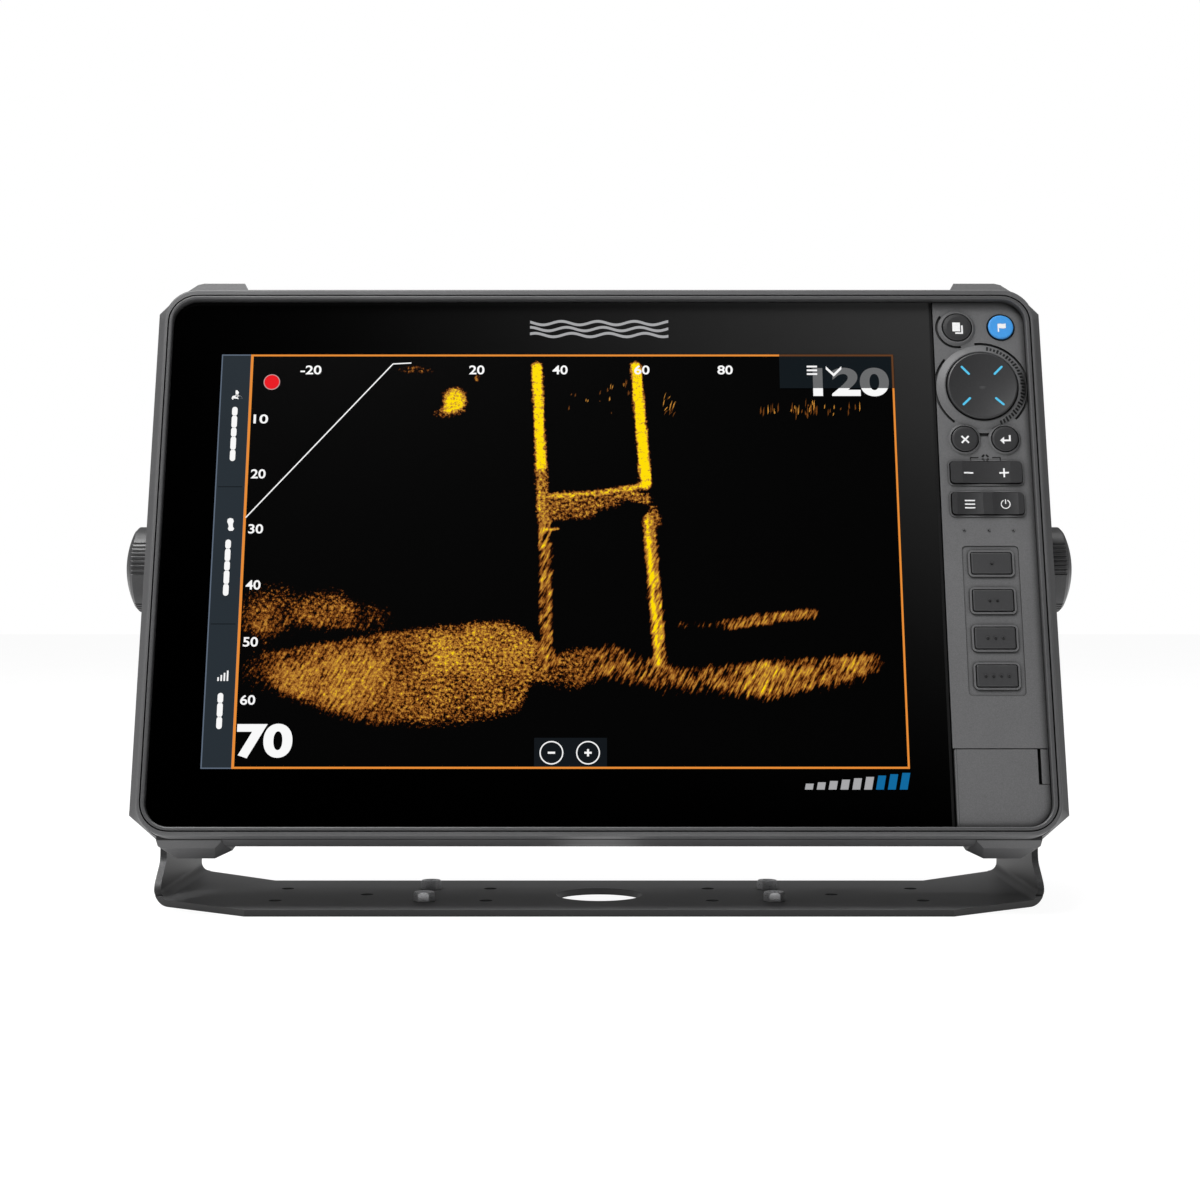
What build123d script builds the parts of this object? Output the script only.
from build123d import *
import os
from math import cos, pi, radians, sin, sqrt

os.makedirs("parts", exist_ok=True)

# Chartplotter display on a tilting bail bracket. Millimetres, +Z up, the screen faces -Y.
# The origin is the centre of the cable hole, on the underside of the bracket's base.
# The head is drawn in its own frame (u right, v up the screen, w out of the glass) and placed by HEAD.

# ---- head placing ----
REST_TILT = 15.0
SCREEN_Y, SCREEN_Z = -16.3, 133.05
PIVOT_V, PIVOT_W = 5.4, -38.0

# ---- front frame, bezel and glass ----
FRAME_HALF_U, FRAME_V0, FRAME_V1, FRAME_R = 169.4, -106.9, 107.7, 12.5
FRAME_FRONT, FRAME_BACK = 3.3, -4.2
BEZEL_HALF_U, BEZEL_HALF_V, BEZEL_R, BEZEL_FRONT = 167.5, 104.9, 10.8, 3.5
OPEN_U0, OPEN_U1, OPEN_HALF_V, OPEN_R = -166.05, 165.85, 103.5, 9.3
SEAM = 0.45
GLASS_T = 2.8
GLASS_EDGE_U = 130.0
LEDGE_TOP, LEDGE_BACK = -3.2, -6.5
GAP = 0.1

# ---- display stack ----
LCD_U0, LCD_U1, LCD_HALF_V = -150.3, 117.9, 85.4
LCD_FRONT, LCD_BACK, LIGHT_BACK = -2.85, -5.6, -9.6

# ---- control panel ----
PANEL_U0, PANEL_U1, PANEL_V0, PANEL_T = 130.5, 165.75, -73.9, 3.1
KEY_GAP = 0.35
KEY_TRAVEL = 0.8
FLANGE_W0, FLANGE_W1, FLANGE_LAND = -2.9, -2.2, 1.0
ROUND_KEYS = {
    "pages_button": (139.6, 92.6, 5.6, 1.5),
    "waypoint_button": (156.8, 92.9, 5.0, 0.9),
    "exit_button": (140.55, 46.6, 5.1, 1.4),
    "enter_button": (156.0, 46.6, 5.1, 1.4),
}
KEY_RINGS = {"pages_button": (7.4, 6.3, 0.9), "exit_button": (6.4, 5.6, 0.8), "enter_button": (6.4, 5.6, 0.8)}
WAYPOINT_WELL_R = 5.6
CURSOR_U, CURSOR_V, CURSOR_R = 148.15, 68.0, 13.7
CURSOR_RING_R0, CURSOR_RING_R1, CURSOR_RING_H = 17.55, 14.6, 1.3
ROCKER_U, ROCKER_L, ROCKER_H, ROCKER_CORNER = 148.05, 27.2, 8.6, 1.2
ROCKERS = {"zoom_rocker": 33.1, "menu_power_rocker": 20.6}
ROCKER_AXIS_W, TRUNNION_R, TRUNNION_HALF = -1.6, 0.6, 5.1
GIMBAL_W, GIMBAL_R, CROSS_W, CROSS_R = -3.2, 0.35, -2.6, 0.28
QUICK_U, QUICK_V, QUICK_PITCH, QUICK_L, QUICK_H = 148.25, -3.0, 14.55, 15.2, 8.2
PILOT_DOT_US, PILOT_DOT_V = (138.7, 148.05, 157.4), 10.0
GROUP_U0, GROUP_U1, GROUP_V0, GROUP_V1, GROUP_DEPTH = 137.4, 158.9, -54.2, 4.0, 0.35
GROOVE_W, GROOVE_D = 0.95, 0.8

# ---- card door and bay ----
DOOR_U0, DOOR_U1, DOOR_V0, DOOR_V1, DOOR_T = 130.6, 165.6, -103.3, -74.3, 3.0
DOOR_AXIS_U, DOOR_AXIS_W = 131.9, -1.5
LATCH_U, LATCH_SLOT, LATCH_V0 = 162.8, 1.2, -87.3
BAY_U0, BAY_U1, BAY_V0, BAY_V1, BAY_FLOOR, BAY_BACK = 133.2, 155.2, -96.8, -76.2, -16.0, -24.0

# ---- rear cover ----
FLARE_HALF_U, FLARE_V0, FLARE_V1 = 174.6, -107.7, 108.6
FLARE_CUT_U, FLARE_CUT_V = 12.5, 10.5
FLARE_TOP_CUT_U, FLARE_TOP_CUT_V = 5.0, 5.5
COVER_FRONT, FLARE_FRONT, FLARE_BACK, BODY_FRONT, BODY_BACK = -4.4, -11.0, -18.0, -22.0, -56.0
BODY_HALF_U, BODY_V0, BODY_V1 = 163.0, -106.8, 107.2
REAR_V0, REAR_V1 = -101.0, 103.0
WALL = 3.0
SCREW_POSTS = [(-156.0, -78.0), (-156.0, 78.0)]
SCREW_POSTS += [(u, v) for u in (-52.0, 52.0, 124.5) for v in (-94.0, 94.0)]
BOARD_POSTS = [(u, v) for u in (-132.0, 104.0) for v in (-44.0, 70.0)]

# ---- rear fittings ----
SINK_HALF_U, SINK_V0, SINK_V1, SINK_T, FIN_H, FIN_COUNT = 125.0, -28.0, 92.0, 3.0, 7.0, 25
PEDESTAL_V, PEDESTAL_SIDE = 30.0, 44.0
SOCKET_V, SOCKET_DEPTH, SOCKET_BORE_R, SOCKET_MOUTH = -62.0, 8.0, 7.0, -68.0
SOCKETS = {
    "power_socket": ((-122.0,), 9.5),
    "data_socket": ((-80.0,), 9.5),
    "network_sockets": ((-40.0, 0.0), 9.5),
    "sonar_sockets": ((46.0, 96.0), 11.5),
}

# ---- pivot and knobs (distances out from the centre plane) ----
STUD_R, INSERT_R, INSERT_BORE_R, ARM_HOLE_R = 4.0, 6.0, 4.05, 4.3
PAD_R, PAD_OUT = 14.0, 166.8
STUD_IN, STUD_OUT = 152.5, 179.0
WASHER_IN, WASHER_OUT, WASHER_R = 170.0, 171.2, 9.0
KNOB_IN, KNOB_RIM, KNOB_APEX, KNOB_R = 171.5, 183.2, 187.0, 16.9
KNOB_PATCHES, PATCH_GROOVES, GROOVE_STEP, GROOVE_R = 4, 8, 6.0, 0.62

# ---- bracket ----
SHEET = 2.5
ARM_IN, ARM_OUT, BEND_IN = 167.2, 169.7, 3.6
MID_HALF_X, MID_HALF_Y = 130.5, 38.4
ARM_FRONT_Y, ARM_NECK_Y, ARM_BACK_Y = -11.2, -0.5, 68.0
ARM_TOP_R = 14.0
CABLE_HOLE_R = 16.6
HOLE_R, INNER_X, OUTER_X, SINGLE_X, ROW_Y = 2.5, 42.9, 122.8, 89.8, 15.7
NUT_X, NUT_AF, NUT_H, NUT_BORE_R, NUT_SHANK_R = 66.3, 7.0, 3.4, 2.0, 3.0

TILT_S, TILT_C = sin(radians(REST_TILT)), cos(radians(REST_TILT))
HEAD = Plane(origin=(0, SCREEN_Y, SCREEN_Z), x_dir=(1, 0, 0), z_dir=(0, -TILT_C, TILT_S)).location
PIVOT_Y = SCREEN_Y + PIVOT_V * TILT_S - PIVOT_W * TILT_C
PIVOT_Z = SCREEN_Z + PIVOT_V * TILT_C + PIVOT_W * TILT_S
ALONG_X = Plane(origin=(0, 0, 0), x_dir=(0, 1, 0), z_dir=(1, 0, 0))


def block(u0, u1, v0, v1, w0, w1):
    return Pos((u0 + u1) / 2, (v0 + v1) / 2, (w0 + w1) / 2) * Box(u1 - u0, v1 - v0, w1 - w0)


def rod(u, v, r, w0, w1):
    return Pos(u, v, (w0 + w1) / 2) * Cylinder(r, w1 - w0)


def tube(u, v, r_out, r_in, w0, w1):
    return rod(u, v, r_out, w0, w1) - rod(u, v, r_in, w0 - 1, w1 + 1)


def prism(face, w0, w1):
    return Pos(0, 0, w0) * extrude(face, w1 - w0)


def pad(u0, u1, v0, v1, r, w0, w1):
    """Plate with four equal corner radii."""
    face = Pos((u0 + u1) / 2, (v0 + v1) / 2) * RectangleRounded(u1 - u0, v1 - v0, r)
    return prism(face, w0, w1)


def ring_of(outer, inner):
    return outer - inner


def rounded_face(half_u, v0, v1, r):
    with BuildSketch() as sketch:
        with Locations((0, (v0 + v1) / 2)):
            RectangleRounded(2 * half_u, v1 - v0, r)
    return sketch.sketch


def cut_corner_face(half_u, v0, v1, low_cut, top_cut=None):
    """Rectangle with its corners cut off; a cut is its length along u and along v."""
    points = []
    for su, sv in ((-1, -1), (1, -1), (1, 1), (-1, 1)):
        v = v0 if sv < 0 else v1
        cut_u, cut_v = top_cut if top_cut and sv > 0 else low_cut
        on_edge = (su * (half_u - cut_u), v)
        on_side = (su * half_u, v - sv * cut_v)
        points += [on_edge, on_side] if su * sv < 0 else [on_side, on_edge]
    return make_face(Polyline(*points, close=True))


def face_at(face, w):
    return Pos(0, 0, w) * face


def save(name, shape, placed=True):
    export_step(HEAD * shape if placed else shape, f"parts/{name}.step")


# ---------------------------------------------------------------- bracket
def bracket():
    """Folded sheet: flat base, two bends and two arms, trimmed by a plan and a side outline."""
    outer = Pos(0, 100) * RectangleRounded(2 * ARM_OUT, 200, BEND_IN + SHEET)
    inner = Pos(0, 100 + SHEET) * RectangleRounded(2 * ARM_IN, 200, BEND_IN)
    trough = Plane.XZ * (outer - inner)
    trough = Pos(0, 90, 0) * extrude(trough, 140)

    plan = make_face(Polyline(
        (-MID_HALF_X, -MID_HALF_Y), (MID_HALF_X, -MID_HALF_Y), (ARM_OUT, ARM_FRONT_Y),
        (ARM_OUT, ARM_BACK_Y), (ARM_IN - 2, ARM_BACK_Y), (MID_HALF_X + 1, MID_HALF_Y),
        (-MID_HALF_X - 1, MID_HALF_Y), (-ARM_IN + 2, ARM_BACK_Y), (-ARM_OUT, ARM_BACK_Y),
        (-ARM_OUT, ARM_FRONT_Y), close=True))
    base_zone = prism(plan, -1, BEND_IN)

    neck = make_face(Polyline(
        (ARM_FRONT_Y, -1), (ARM_FRONT_Y, 7.4), (ARM_NECK_Y, 15.5), (PIVOT_Y - ARM_TOP_R, PIVOT_Z),
        (PIVOT_Y + ARM_TOP_R, PIVOT_Z), (ARM_BACK_Y, 44), (ARM_BACK_Y, -1), close=True))
    side = neck + Pos(PIVOT_Y, PIVOT_Z) * Circle(ARM_TOP_R)
    side = fillet(side.vertices().filter_by_position(Axis.X, ARM_FRONT_Y - 0.1, ARM_NECK_Y + 0.1)
                  .filter_by_position(Axis.Y, 5, 20), 5)
    arm_zone = Pos(-200, 0, 0) * extrude(ALONG_X * side, 400)
    arm_zone -= block(-ARM_IN + BEND_IN, ARM_IN - BEND_IN, -80, 100, -2, 200)

    body = trough & (base_zone + arm_zone)
    body -= rod(0, 0, CABLE_HOLE_R, -1, 5)
    for sx in (-1, 1):
        for sy in (-1, 1):
            body -= rod(sx * INNER_X, sy * ROW_Y, HOLE_R, -1, 5)
            body -= rod(sx * OUTER_X, sy * ROW_Y, HOLE_R, -1, 5)
            body -= rod(sx * NUT_X, sy * ROW_Y, NUT_SHANK_R, -1, 5)
        body -= rod(sx * SINGLE_X, 0, HOLE_R, -1, 5)
    body -= Pos(0, PIVOT_Y, PIVOT_Z) * Rot(0, 90, 0) * Cylinder(ARM_HOLE_R, 400)
    return body


def clinch_nuts():
    nuts = []
    for sx in (-1, 1):
        for sy in (-1, 1):
            hexagon = RegularPolygon(NUT_AF / 2, 6, major_radius=False)
            head = Pos(0, 0, SHEET) * extrude(hexagon, NUT_H)
            crown = Pos(0, 0, SHEET + NUT_H / 2) * Cone(NUT_AF / 2 + 2.4, NUT_AF / 2 + 0.1, NUT_H)
            nut = (head & crown) + rod(0, 0, NUT_SHANK_R - 0.02, 0, SHEET + 0.5)
            nut -= rod(0, 0, NUT_BORE_R, -1, 10)
            nuts.append(Pos(sx * NUT_X, sy * ROW_Y, 0) * nut)
    return Compound(children=nuts)


# ---------------------------------------------------------------- front of the head
def front_frame():
    outline = rounded_face(FRAME_HALF_U, FRAME_V0, FRAME_V1, FRAME_R)
    body = prism(outline, FRAME_BACK, FRAME_FRONT)
    body = fillet(body.faces().sort_by(Axis.Z)[-1].outer_wire().edges(), 0.9)
    well_half_u, well_half_v = BEZEL_HALF_U + SEAM, BEZEL_HALF_V + SEAM
    body -= pad(-well_half_u, well_half_u, -well_half_v, well_half_v, BEZEL_R + SEAM, -0.2, 10)
    body -= pad(OPEN_U0 - 0.05, OPEN_U1 + 0.2, -OPEN_HALF_V - GAP, OPEN_HALF_V + GAP, OPEN_R, LEDGE_TOP, 1)
    skirt = pad(-166.6, 166.6, -104.1, 104.1, 9.9, LEDGE_BACK, LEDGE_TOP)
    body = body + skirt
    for u, v in SCREW_POSTS:
        body += rod(u, v, 4.2, -11.5, LEDGE_BACK + 0.5)
        body -= rod(u, v, 1.3, -12, -5)
    body -= block(LCD_U0 - 1.2, LCD_U1 + 1.2, -LCD_HALF_V - 1.2, LCD_HALF_V + 1.2, -8, 0)
    body -= block(132, 164.5, -71, 101, -8, 0)
    body -= block(133, 161, -100, -76, -8, 0)
    return body


def bezel():
    body = pad(-BEZEL_HALF_U, BEZEL_HALF_U, -BEZEL_HALF_V, BEZEL_HALF_V, BEZEL_R, -0.15, BEZEL_FRONT)
    body -= pad(OPEN_U0, OPEN_U1, -OPEN_HALF_V, OPEN_HALF_V, OPEN_R, -1, 10)
    top = body.faces().sort_by(Axis.Z)[-1]
    body = fillet(top.outer_wire().edges(), 0.4)
    top = body.faces().sort_by(Axis.Z)[-1]
    return fillet(top.inner_wires()[0].edges(), 0.6)


def main_gasket():
    return ring_of(pad(-165.8, 165.8, -103.4, 103.4, 9.2, -7.9, LEDGE_BACK),
                   pad(-163.4, 163.4, -101.4, 101.4, 7.5, -9, -5))


def touch_glass():
    left = pad(OPEN_U0 + GAP, 0, -OPEN_HALF_V + GAP, OPEN_HALF_V - GAP, OPEN_R - GAP, -GLASS_T, 0)
    right = block(-20, GLASS_EDGE_U, -OPEN_HALF_V + GAP, OPEN_HALF_V - GAP, -GLASS_T, 0)
    return left + right


def glass_adhesive():
    outer = pad(-164.2, 128.6, -101.8, 101.8, 6.0, LEDGE_TOP, -GLASS_T)
    return ring_of(outer, block(LCD_U0 - 0.8, LCD_U1 + 0.8, -LCD_HALF_V - 0.8, LCD_HALF_V + 0.8, -8, 0))


def lcd_panel():
    return block(LCD_U0, LCD_U1, -LCD_HALF_V, LCD_HALF_V, LCD_BACK, LCD_FRONT)


def backlight():
    tray = block(LCD_U0, LCD_U1, -LCD_HALF_V, LCD_HALF_V, LIGHT_BACK, LCD_BACK - 0.1)
    ribs = [block(u - 1, u + 1, -LCD_HALF_V + 6, LCD_HALF_V - 6, LIGHT_BACK - 1, LIGHT_BACK + 0.5)
            for u in range(-120, 101, 44)]
    return tray + ribs


# ---------------------------------------------------------------- control panel
def cone_ring(u, v, r_base, r_top, height):
    return Pos(u, v, height / 2 - 0.05) * Cone(r_base, r_top, height + 0.1)


def groove_arc(u, v, r, start, sweep, width, depth):
    """Narrow groove that follows an arc, cut from the panel's face."""
    ring = tube(u, v, r + width / 2, r - width / 2, -depth, 5)
    steps = max(2, int(sweep / 30) + 1)
    points = [(u, v)]
    for i in range(steps + 1):
        a = radians(start + sweep * i / steps)
        points.append((u + 2 * r * cos(a), v + 2 * r * sin(a)))
    sector = prism(make_face(Polyline(*points, close=True)), -depth, 5)
    return ring & sector


def along_v(u, v, w, r, half):
    """Round bar that runs up the screen, centred on a point."""
    return Pos(u, v, w) * Rot(90, 0, 0) * Cylinder(r, 2 * half)


def rocker_outline(v, grow, w0, w1):
    half_l, half_h = ROCKER_L / 2 + grow, ROCKER_H / 2 + grow
    return pad(ROCKER_U - half_l, ROCKER_U + half_l, v - half_h, v + half_h, ROCKER_CORNER + grow, w0, w1)


def quick_outline(index, grow, w0, w1):
    v = QUICK_V - index * QUICK_PITCH
    half_l, half_h = QUICK_L / 2 + grow, QUICK_H / 2 + grow
    return pad(QUICK_U - half_l, QUICK_U + half_l, v - half_h, v + half_h, 0.7 + grow, w0, w1)


def keypad_panel():
    back = -PANEL_T
    body = pad(60, PANEL_U1, -OPEN_HALF_V + GAP, OPEN_HALF_V - GAP, OPEN_R - GAP, back, 0)
    body &= block(PANEL_U0, PANEL_U1 + 1, PANEL_V0, 110, back - 1, 1)
    raised = [cone_ring(ROUND_KEYS[k][0], ROUND_KEYS[k][1], *KEY_RINGS[k]) for k in KEY_RINGS]
    raised.append(cone_ring(CURSOR_U, CURSOR_V, CURSOR_RING_R0, CURSOR_RING_R1, CURSOR_RING_H))
    body -= pad(GROUP_U0, GROUP_U1, GROUP_V0, GROUP_V1, 1.6, -GROUP_DEPTH, 1)
    for v in ROCKERS.values():
        body += rocker_outline(v, 0.9, -0.3, 0.35)
    for i in range(4):
        body += quick_outline(i, 1.1, -1, 0.3)
    for u in PILOT_DOT_US:
        body += Pos(u, PILOT_DOT_V, -0.05) * Cone(0.75, 0.4, 0.7)
    body -= groove_arc(CURSOR_U, CURSOR_V, CURSOR_RING_R0 + GROOVE_W / 2, -46, 142, GROOVE_W, GROOVE_D)
    body -= groove_arc(CURSOR_U, CURSOR_V, CURSOR_RING_R0 + GROOVE_W / 2, 140, 92, GROOVE_W, GROOVE_D)
    body -= groove_arc(139.6, 92.6, 7.9, 140, 140, GROOVE_W, GROOVE_D)
    body -= block(146.2, 150.3, 47.9, 49.3, -GROOVE_D, 1)
    for piece in raised:
        body += piece
    for u, v, r, _ in ROUND_KEYS.values():
        body -= rod(u, v, r + KEY_GAP, back - 1, 5)
        body -= rod(u, v, r + FLANGE_LAND + KEY_GAP, back - 1, FLANGE_W1 + 0.3)
    u, v, _, _ = ROUND_KEYS["waypoint_button"]
    body -= rod(u, v, WAYPOINT_WELL_R, -0.6, 5)
    body -= rod(CURSOR_U, CURSOR_V, CURSOR_R + 0.45, back - 1, 5)
    for v in ROCKERS.values():
        body -= rocker_outline(v, KEY_GAP, back - 1, 5)
        reach, half = TRUNNION_HALF + 0.2, TRUNNION_R + 0.05
        body -= block(ROCKER_U - half, ROCKER_U + half, v - reach, v + reach, back - 1, ROCKER_AXIS_W)
        body -= along_v(ROCKER_U, v, ROCKER_AXIS_W, half, reach)
    for i in range(4):
        body -= quick_outline(i, KEY_GAP, back - 1, 5)
        body -= quick_outline(i, FLANGE_LAND + KEY_GAP, back - 1, FLANGE_W1 + 0.3)
    return body & block(PANEL_U0, PANEL_U1, PANEL_V0, 110, back - 1, 5)


def round_key(name):
    u, v, r, height = ROUND_KEYS[name]
    cap = rod(u, v, r, FLANGE_W0, height)
    cap = fillet(cap.faces().sort_by(Axis.Z)[-1].edges(), 0.7)
    crown_r = 34.0
    crown = Pos(u, v, height + 0.25 - crown_r) * Sphere(crown_r)
    cap &= crown
    return cap + rod(u, v, r + FLANGE_LAND, FLANGE_W0, FLANGE_W1)


def quick_key(index):
    cap = quick_outline(index, 0, FLANGE_W0, 0.85)
    cap = fillet(cap.faces().sort_by(Axis.Z)[-1].edges(), 0.45)
    cap += quick_outline(index, FLANGE_LAND, FLANGE_W0, FLANGE_W1)
    v = QUICK_V - index * QUICK_PITCH
    for i in range(index + 1):
        u = QUICK_U + (i - index / 2) * 2.9
        cap += Pos(u, v, 1.0) * Cone(0.62, 0.4, 0.5)
    return cap


def rocker(name):
    """Long key on two trunnions, with one shallow dish, or with two dishes and a ridge between them."""
    v = ROCKERS[name]
    cap = rocker_outline(v, 0, -2.3, 1.25)
    dish_r = 70.0
    if name == "zoom_rocker":
        dishes = [(ROCKER_U, dish_r, 0.65)]
    else:
        dishes = [(ROCKER_U - 6.7, 22.0, 0.7), (ROCKER_U + 6.7, 22.0, 0.7)]
    for u, r, floor in dishes:
        cap -= along_v(u, v, floor + r, r, 15)
    return cap + along_v(ROCKER_U, v, ROCKER_AXIS_W, TRUNNION_R, TRUNNION_HALF)


def cursor_gimbal():
    """Small cross: a bar along u that it rocks on, under a disc grooved for the pad's own bar."""
    disc = rod(CURSOR_U, CURSOR_V, 5.0, GIMBAL_W - 0.4, CROSS_W - 0.2)
    disc += Pos(CURSOR_U, CURSOR_V, GIMBAL_W) * Rot(0, 90, 0) * Cylinder(GIMBAL_R, 13)
    return disc - along_v(CURSOR_U, CURSOR_V, CROSS_W, CROSS_R + 0.05, 6)


def cursor_pad():
    """Round pad with a raised rim and a shallow dished centre."""
    cap = rod(CURSOR_U, CURSOR_V, CURSOR_R, -2.3, 2.6)
    cap = fillet(cap.faces().sort_by(Axis.Z)[-1].edges(), 0.9)
    dish_r = 75.0
    cap -= Pos(CURSOR_U, CURSOR_V, 1.45 + dish_r) * Sphere(dish_r)
    cap += block(CURSOR_U - 0.2, CURSOR_U + 0.2, CURSOR_V - 7, CURSOR_V + 7, CROSS_W, -2.2)
    return cap + along_v(CURSOR_U, CURSOR_V, CROSS_W, CROSS_R, 7)


def keypad_membrane():
    body = pad(132.4, 163.8, -70.6, 100.2, 6.0, -6.1, -4.0)
    for u, v, r, _ in ROUND_KEYS.values():
        body -= rod(u, v, r - 1.0, -6.5, -5.0)
    return body


def keypad_board():
    board = pad(132.4, 163.0, -70.6, 99.5, 6.0, -8.6, -7.0)
    parts = [block(u, u + 4, v, v + 2.4, -10.2, -8.5) for u, v in ((136, 80), (150, 80), (140, 8), (152, -30))]
    return board + parts


def key_domes():
    spots = [(u, v) for u, v, _, _ in ROUND_KEYS.values()]
    spots += [(ROCKER_U + s * 9, v) for v in ROCKERS.values() for s in (-1, 1)]
    spots += [(QUICK_U, QUICK_V - i * QUICK_PITCH) for i in range(4)]
    spots += [(CURSOR_U + 9 * cos(a * pi / 2), CURSOR_V + 9 * sin(a * pi / 2)) for a in range(4)]
    return Compound(children=[Pos(u, v, -6.65) * Cone(2.6, 1.4, 0.6) for u, v in spots])


# ---------------------------------------------------------------- card door
def door_outline(grow, w0, w1):
    body = pad(60, DOOR_U1 + grow, DOOR_V0 - grow, 60, OPEN_R - GAP, w0, w1)
    return body & block(DOOR_U0 - grow, DOOR_U1 + grow, DOOR_V0 - grow, DOOR_V1 + grow, w0 - 1, w1 + 1)


def card_door():
    body = door_outline(0, -DOOR_T, 0)
    body -= block(LATCH_U - LATCH_SLOT, 170, LATCH_V0 - 0.15, DOOR_V1 + 1, -5, 1)
    left_round = rod(0, 0, 1.3, 0, DOOR_V1 - DOOR_V0)
    barrel = Pos(DOOR_AXIS_U, DOOR_V1, DOOR_AXIS_W) * Rot(90, 0, 0) * left_round
    body -= block(DOOR_U0 - 1, DOOR_AXIS_U, DOOR_V0 - 1, DOOR_V1 + 1, -5, 1)
    body += barrel
    pin_hole = Pos(DOOR_AXIS_U, (DOOR_V0 + DOOR_V1) / 2, DOOR_AXIS_W) * Rot(90, 0, 0) * Cylinder(0.65, 60)
    return body - pin_hole


def card_door_seal():
    return ring_of(pad(134.8, 155.4, -97.2, -76.8, 3.0, -4.2, -DOOR_T),
                   pad(136.6, 153.6, -95.4, -78.6, 2.0, -6, 0))


def card_door_pin():
    return Pos(DOOR_AXIS_U, (DOOR_V0 + DOOR_V1) / 2, DOOR_AXIS_W) * Rot(90, 0, 0) * Cylinder(0.6, 28.6)


def latch_strip():
    return block(LATCH_U, DOOR_U1, LATCH_V0 + 0.15, DOOR_V1, -DOOR_T, 0)


def card_reader():
    tub = pad(BAY_U0, BAY_U1, BAY_V0, BAY_V1, 2.0, BAY_BACK, -4.6)
    tub -= pad(BAY_U0 + 1.8, BAY_U1 - 1.8, BAY_V0 + 1.6, BAY_V1 - 1.8, 1.5, BAY_FLOOR, 0)
    for v in (-91.0, -83.0):
        tub -= block(137.5, 151, v - 0.8, v + 0.8, -22, BAY_FLOOR + 1)
    return tub


# ---------------------------------------------------------------- rear cover
def corner_bump(side, top):
    """Raised foot near a corner: a wedge profile across the edge, cut to a trapezium along it."""
    s = 1 if top else -1
    rise = 115.5 if top else 109.6
    crest = 116.0 if top else 111.4
    root = 98.0
    profile = make_face(Polyline(
        (COVER_FRONT - 0.3, s * 107.3), (-9.0, s * rise), (-24.0, s * crest), (-33.0, s * 104.5),
        (-33.0, s * root), (COVER_FRONT - 0.3, s * root), close=True))
    bar = Plane(origin=(0, 0, 0), x_dir=(0, 0, 1), z_dir=(-1, 0, 0)) * profile
    bar = Pos(166, 0, 0) * extrude(bar, 32)
    edge = [(137.0, 108.0), (141.2, crest), (156.5, crest - 0.3), (159.5, crest - 1.3), (162.5, 111.6),
            (165.4, 108.6), (165.6, root)]
    if not top:
        edge = [(138.8, 107.6), (144.4, crest), (158.5, crest), (162.6, 109.0), (163.0, root)]
    outline = make_face(Polyline((136.0, s * root), *((u, s * v) for u, v in edge), close=True))
    foot = bar & prism(outline, -40, 0)
    return foot if side > 0 else mirror(foot, Plane.YZ)


def rear_cover():
    rim = face_at(rounded_face(169.7, -107.1, 107.9, 12.6), COVER_FRONT)
    low_cut, top_cut = (FLARE_CUT_U, FLARE_CUT_V), (FLARE_TOP_CUT_U, FLARE_TOP_CUT_V)
    flare = cut_corner_face(FLARE_HALF_U, FLARE_V0, FLARE_V1, low_cut, top_cut)
    flare_end = cut_corner_face(FLARE_HALF_U - 0.6, FLARE_V0, FLARE_V1, low_cut, top_cut)
    neck = cut_corner_face(BODY_HALF_U, BODY_V0, BODY_V1, (12.0, 11.0))
    rear = cut_corner_face(BODY_HALF_U, REAR_V0, REAR_V1, (18.0, 14.0))
    body = loft([rim, face_at(flare, FLARE_FRONT)], ruled=True)
    body += loft([face_at(flare, FLARE_FRONT), face_at(flare_end, FLARE_BACK)], ruled=True)
    body += loft([face_at(flare_end, FLARE_BACK), face_at(neck, BODY_FRONT)], ruled=True)
    body += loft([face_at(neck, BODY_FRONT), face_at(rear, BODY_BACK)], ruled=True)
    for side in (-1, 1):
        for top in (False, True):
            body += corner_bump(side, top)

    wide = pad(-166.9, 166.9, -104.4, 104.4, 10.2, -14, 0)
    inner_neck = cut_corner_face(BODY_HALF_U - WALL, BODY_V0 + WALL, BODY_V1 - WALL, (11.0, 10.0))
    inner_rear = cut_corner_face(BODY_HALF_U - WALL, REAR_V0 + WALL, REAR_V1 - WALL, (16.0, 12.0))
    cavity = loft([face_at(inner_neck, -13.9), face_at(inner_rear, BODY_BACK + WALL)], ruled=True)
    body -= wide
    body -= cavity

    for u, v in SCREW_POSTS:
        body += rod(u, v, 5.2, BODY_BACK + 1, -12.0)
        body -= rod(u, v, 4.0, BODY_BACK - 1, -16.5)
        body -= rod(u, v, 1.8, -17, -10)
    for u, v in BOARD_POSTS:
        body += rod(u, v, 4.0, BODY_BACK + 1, -22.0)
        body -= rod(u, v, 1.25, -30, -21)
    for side in (-1, 1):
        boss = Pos(side * (BODY_HALF_U - 7.5), PIVOT_V, PIVOT_W) * Rot(0, 90, 0) * Cylinder(9.5, 15)
        hole = Pos(side * (BODY_HALF_U - 7), PIVOT_V, PIVOT_W) * Rot(0, 90, 0) * Cylinder(INSERT_R + 0.02, 20)
        body += boss
        body -= hole
    half = PEDESTAL_SIDE / 2 + 1
    body -= block(-half, half, PEDESTAL_V - half, PEDESTAL_V + half, BODY_BACK - 1, BODY_BACK + 5)
    for centres, _ in SOCKETS.values():
        for u in centres:
            body -= rod(u, SOCKET_V, 8.2, BODY_BACK - 1, BODY_BACK + 5)
    for u, v in sink_screw_spots():
        body -= rod(u, v, 1.3, BODY_BACK - 1, BODY_BACK + 5)
    return body


def sink_screw_spots():
    return [(u, v) for u in (-118.0, 118.0) for v in (SINK_V0 + 7, SINK_V1 - 7)]


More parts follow.
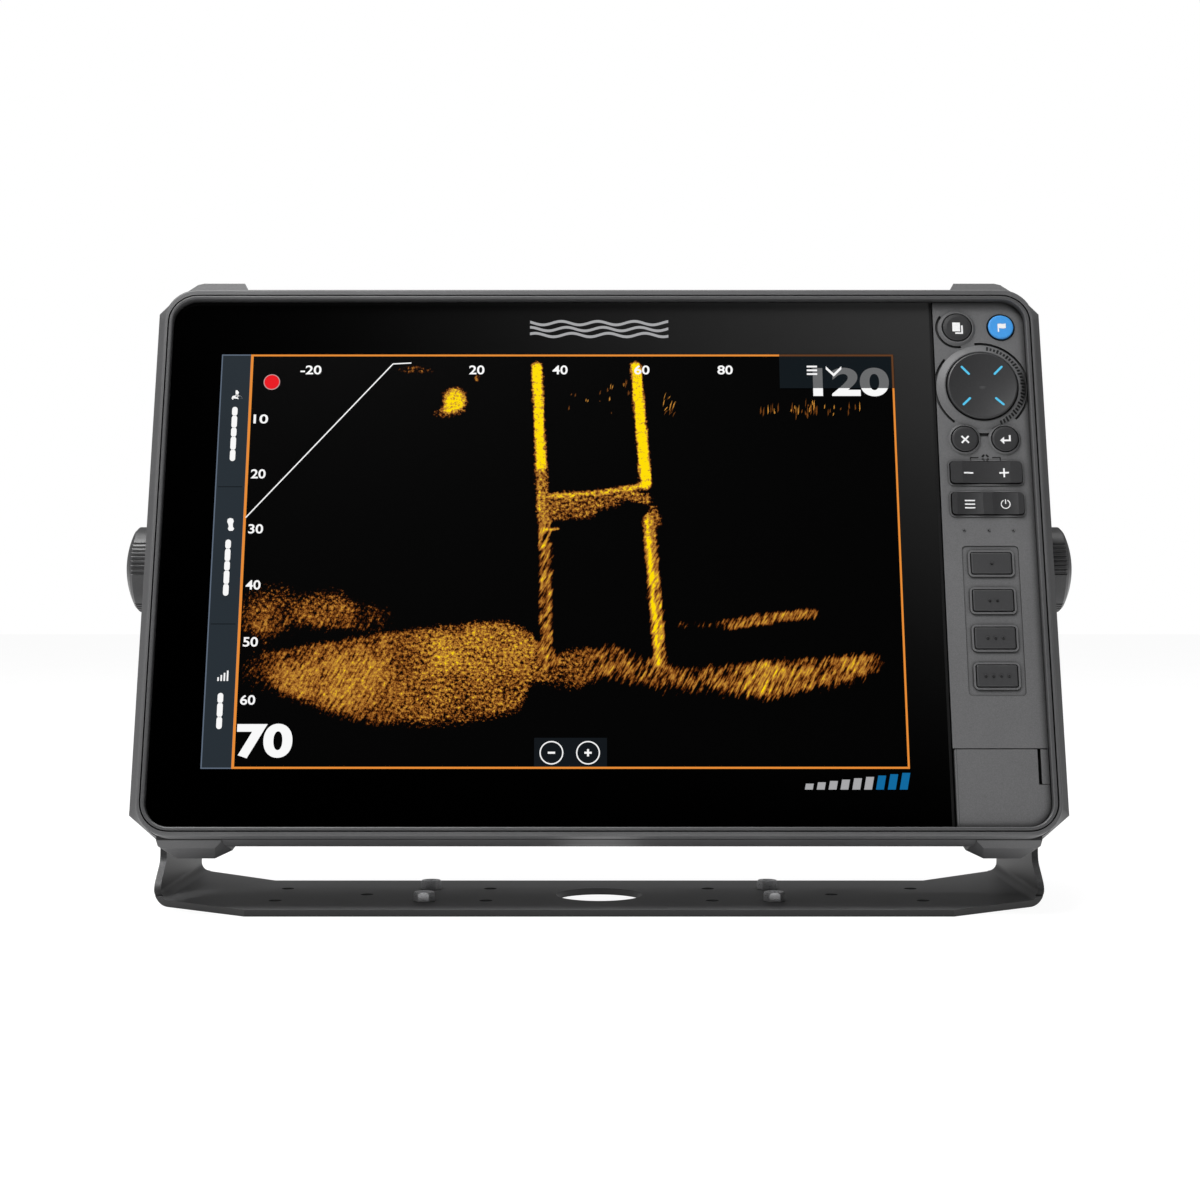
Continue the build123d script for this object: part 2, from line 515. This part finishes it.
def heat_sink():
    plate = pad(-SINK_HALF_U, SINK_HALF_U, SINK_V0, SINK_V1, 5.0, BODY_BACK - SINK_T, BODY_BACK)
    half = PEDESTAL_SIDE / 2
    body = plate + block(-half, half, PEDESTAL_V - half, PEDESTAL_V + half, BODY_BACK - 0.5, -25.6)
    pitch = (2 * SINK_HALF_U - 36) / (FIN_COUNT - 1)
    foot = BODY_BACK - SINK_T + 0.5
    for i in range(FIN_COUNT):
        u = -SINK_HALF_U + 18 + i * pitch
        body += block(u - 0.9, u + 0.9, SINK_V0 + 4, SINK_V1 - 4, foot - FIN_H, foot)
    for u, v in sink_screw_spots():
        body -= rod(u, v, 1.8, BODY_BACK - 6, BODY_BACK + 1)
    return body


def sockets(name):
    """Round sockets for plugs with a locking ring: flange, collar with grooves, blind bore and back nut."""
    centres, collar_r = SOCKETS[name]
    solids = []
    for u in centres:
        body = rod(u, SOCKET_V, collar_r + 2.5, BODY_BACK - 2, BODY_BACK)
        body += rod(u, SOCKET_V, collar_r, SOCKET_MOUTH, BODY_BACK - 1)
        body += rod(u, SOCKET_V, 8.0, BODY_BACK - 1, BODY_BACK + 10)
        body += Pos(0, 0, BODY_BACK + WALL) * extrude(Pos(u, SOCKET_V) * RegularPolygon(11, 6), 3)
        for w in (SOCKET_MOUTH + 3.0, SOCKET_MOUTH + 5.0, SOCKET_MOUTH + 7.0):
            body -= tube(u, SOCKET_V, collar_r + 1, collar_r - 0.6, w, w + 0.9)
        body -= rod(u, SOCKET_V, SOCKET_BORE_R, SOCKET_MOUTH - 1, SOCKET_MOUTH + SOCKET_DEPTH)
        body -= rod(u, SOCKET_V, 5.5, SOCKET_MOUTH, BODY_BACK + 11)
        solids.append(body)
    return solids[0] if len(solids) == 1 else Compound(children=solids)


def socket_inserts():
    """Contact blocks at the bottom of the sockets, each with a ring of contact holes."""
    solids = []
    for centres, _ in SOCKETS.values():
        for u in centres:
            face = SOCKET_MOUTH + SOCKET_DEPTH
            body = rod(u, SOCKET_V, 5.48, face, BODY_BACK + 12)
            for i in range(5):
                a = 2 * pi * i / 5 + pi / 2
                body -= rod(u + 3.2 * cos(a), SOCKET_V + 3.2 * sin(a), 0.7, face - 1, face + 6)
            body -= rod(u, SOCKET_V, 0.7, face - 1, face + 6)
            solids.append(body)
    return Compound(children=solids)


# ---------------------------------------------------------------- electronics
def main_board():
    board = pad(-140, 112, -60, 80, 3.0, -22.0, -20.4)
    for u, v in BOARD_POSTS:
        board -= rod(u, v, 1.5, -23, -19)
    chips = [(-110, 20, 18, 18, 2.2), (-70, -30, 14, 10, 1.8), (52, 40, 20, 14, 2.4), (70, -20, 12, 12, 1.6)]
    for u, v, a, b, h in chips:
        board += block(u - a / 2, u + a / 2, v - b / 2, v + b / 2, -22 - h, -21.5)
    for i in range(6):
        board += rod(-120 + 9 * i, 66, 3.1, -30, -21.5)
    return board


def processor_shield():
    half = 21.0
    return block(-half, half, PEDESTAL_V - half, PEDESTAL_V + half, -24.5, -22.0)


def thermal_pad():
    half = 19.0
    return block(-half, half, PEDESTAL_V - half, PEDESTAL_V + half, -25.6, -24.5)


def power_board():
    board = pad(-135, -20, -86, -66, 2.0, -36.0, -34.4)
    for i in range(3):
        board += rod(-125 + 16 * i, -76, 5.0, -34.5, -24.0)
    return board + block(-60, -40, -84, -70, -34.5, -27)


def gps_antenna():
    base = block(-12.5, 12.5, 83, 103, -20.5, -19.3)
    patch = pad(-11, 11, 84, 102, 1.0, -19.4, -14.5)
    return base + patch


def buzzer():
    return rod(90, -45, 7.0, -20.4, -13.0) - rod(90, -45, 1.2, -15, -12)


def display_ribbon():
    return block(-68, -38, -45.2, -44.9, -20.3, LIGHT_BACK - 0.05)


def keypad_ribbon():
    run = block(108, 134, 20, 34, -14.3, -14.0)
    return run + block(108, 108.3, 20, 34, -20.3, -14.0) + block(133.7, 134, 20, 34, -14.3, -8.7)


# ---------------------------------------------------------------- fasteners
def screws(spots, head_r, head_h, shank_r, seat, tip, outward):
    """Pan-head screws along w; outward is the side that the head is on."""
    solids = []
    for u, v in spots:
        head_end = seat + outward * head_h
        body = rod(u, v, head_r, min(seat, head_end), max(seat, head_end))
        far = body.faces().sort_by(Axis.Z)[-1 if outward > 0 else 0]
        body = fillet(far.edges(), head_h * 0.35)
        body += rod(u, v, shank_r, min(tip, seat), max(tip, seat))
        recess = Pos(u, v, head_end) * extrude(RegularPolygon(head_r * 0.5, 6), head_h * 0.6, both=True)
        solids.append(body - recess)
    return Compound(children=solids)


# ---------------------------------------------------------------- pivot and knobs
def across(shape_z, start, side):
    """Turn a shape drawn up +Z so that it runs outwards along X from start, on one side."""
    return Pos(side * start, PIVOT_V, PIVOT_W) * Rot(0, 90 * side, 0) * shape_z


def pivot_insert(side):
    length = BODY_HALF_U - 150.0
    return across(tube(0, 0, INSERT_R, INSERT_BORE_R, 0, length), 150.0, side)


def pivot_pad(side):
    thickness = PAD_OUT - BODY_HALF_U
    return across(tube(0, 0, PAD_R, 4.6, 0, thickness), BODY_HALF_U, side)


def knob_washer(side):
    return across(tube(0, 0, WASHER_R, STUD_R + 0.3, 0, WASHER_OUT - WASHER_IN), WASHER_IN, side)


def knob_stud(side):
    body = rod(0, 0, STUD_R, 0, STUD_OUT - STUD_IN)
    body = chamfer(body.faces().sort_by(Axis.Z)[0].edges(), 0.8)
    body += prism(RegularPolygon(6.4, 6), STUD_OUT - STUD_IN - 4.5, STUD_OUT - STUD_IN)
    return across(body, STUD_IN, side)


def knob_cap(side):
    """Turned knob: skirt, domed face, and four patches of axial grip grooves."""
    rim, apex = KNOB_RIM - KNOB_IN, KNOB_APEX - KNOB_IN
    edge, half = KNOB_R - 1.2, 9.0
    dome_r = (edge ** 2 + (apex - rim) ** 2) / (2 * (apex - rim))
    dome_mid = apex - dome_r + sqrt(dome_r ** 2 - half ** 2)
    profile = make_face([
        Line((0, 0), (13.0, 0)), Line((13.0, 0), (15.6, 1.6)), Line((15.6, 1.6), (KNOB_R, 3.4)),
        Line((KNOB_R, 3.4), (KNOB_R, rim - 1.2)), Line((KNOB_R, rim - 1.2), (edge, rim)),
        ThreePointArc((edge, rim), (half, dome_mid), (0, apex)), Line((0, apex), (0, 0))])
    body = revolve(Plane.XZ * profile, Axis.Z)
    cutters = []
    for patch in range(KNOB_PATCHES):
        for i in range(PATCH_GROOVES):
            a = radians(360 * patch / KNOB_PATCHES + (i - (PATCH_GROOVES - 1) / 2) * GROOVE_STEP)
            cutters.append(rod((KNOB_R + 0.1) * cos(a), (KNOB_R + 0.1) * sin(a), GROOVE_R, -1.0, apex))
    body -= cutters
    body -= rod(0, 0, STUD_R + 0.02, -1, STUD_OUT - KNOB_IN + 0.02)
    body -= prism(RegularPolygon(6.42, 6), STUD_OUT - KNOB_IN - 4.55, STUD_OUT - KNOB_IN + 0.06)
    return across(body, KNOB_IN, side)


# ---------------------------------------------------------------- write every piece
save("bracket", bracket(), placed=False)
save("bracket_nuts", clinch_nuts(), placed=False)
for make in (rear_cover, heat_sink, front_frame, bezel, main_gasket, touch_glass, glass_adhesive, lcd_panel,
             backlight, keypad_panel, keypad_membrane, keypad_board, key_domes, cursor_gimbal, cursor_pad,
             card_door, card_door_seal, card_door_pin, latch_strip, card_reader, socket_inserts, main_board,
             processor_shield, thermal_pad, power_board, gps_antenna, buzzer, display_ribbon, keypad_ribbon):
    save(make.__name__, make())
for key_name in ROUND_KEYS:
    save(key_name, round_key(key_name))
for rocker_name in ROCKERS:
    save(rocker_name, rocker(rocker_name))
for key_index in range(4):
    save(f"quick_key_{key_index + 1}", quick_key(key_index))
for socket_name in SOCKETS:
    save(socket_name, sockets(socket_name))
save("rear_cover_screws", screws(SCREW_POSTS, 3.4, 2.4, 1.28, -16.5, -7.0, -1))
save("heat_sink_screws", screws(sink_screw_spots(), 3.2, 2.0, 1.28, BODY_BACK - SINK_T, BODY_BACK + 4, -1))
save("board_screws", screws(BOARD_POSTS, 2.6, 1.8, 1.2, -20.4, -28.0, 1))
for side_name, side_sign in (("left", -1), ("right", 1)):
    save(f"pivot_insert_{side_name}", pivot_insert(side_sign))
    save(f"pivot_pad_{side_name}", pivot_pad(side_sign))
    save(f"knob_washer_{side_name}", knob_washer(side_sign))
    save(f"knob_stud_{side_name}", knob_stud(side_sign))
    save(f"knob_cap_{side_name}", knob_cap(side_sign))
